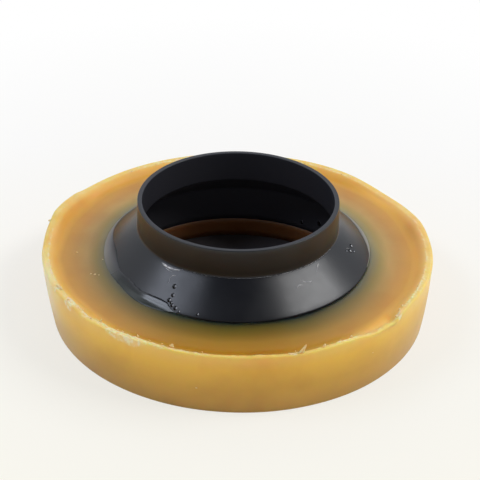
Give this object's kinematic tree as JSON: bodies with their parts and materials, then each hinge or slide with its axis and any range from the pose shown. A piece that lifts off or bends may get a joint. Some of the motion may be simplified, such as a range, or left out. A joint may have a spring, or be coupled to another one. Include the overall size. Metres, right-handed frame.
{
  "type": "toilet pan seal",
  "caption": "Round seal for a toilet pan's outlet: a thick amber wax ring with a dished top, cast around a black plastic horn whose cone and short collar stand above it.",
  "frame": {"origin": "centre of the wax ring's flat seat, on the seal's axis", "axes": "+Z along the seal's axis, from the flat seat up towards the horn's open end; +X and +Y lie in the seat's plane"},
  "size_m": [0.14, 0.14, 0.0432],
  "materials": {
    "amber_wax": "cast wax, amber and slightly see-through, satin, with a paler torn lip",
    "black_polyethylene": "injection moulded polyethylene, black, smooth and satin"
  },
  "bodies": {
    "root": {"wax_ring": "amber_wax", "horn": "black_polyethylene"}
  },
  "joints": []
}
